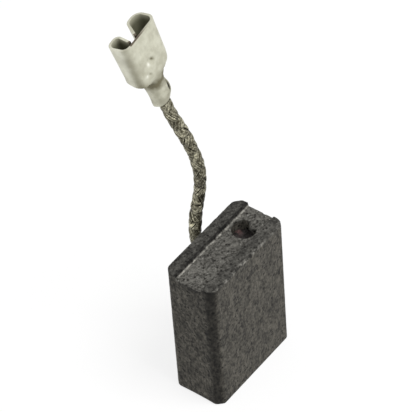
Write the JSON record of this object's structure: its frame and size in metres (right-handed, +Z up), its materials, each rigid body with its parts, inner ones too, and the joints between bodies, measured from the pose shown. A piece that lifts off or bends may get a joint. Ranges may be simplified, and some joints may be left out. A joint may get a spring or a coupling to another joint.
{
  "type": "carbon brush",
  "caption": "Carbon brush: chamfered graphite block with a spring seat, a tamped braided copper lead on its back face and a crimped flat receptacle.",
  "frame": {"origin": "middle of the foot of the carbon block, at the height of the two edges that it stands on", "axes": "+Z up from the contact face to the spring seat, +X across the block's width towards the tamping hole, +Y through its thickness to the face that the lead leaves"},
  "size_m": [0.016, 0.0191, 0.053],
  "materials": {
    "graphite": "pressed electrographite, matt and finely pitted",
    "tamped_copper": "tamped copper powder, rough and darkened",
    "tinned_braid": "tinned copper braid, tarnished",
    "tinned_sheet": "tin-plated brass sheet, satin"
  },
  "bodies": {
    "root": {"carbon_block": "graphite", "tamped_plug": "tamped_copper", "braid": "tinned_braid", "terminal": "tinned_sheet"}
  },
  "joints": []
}
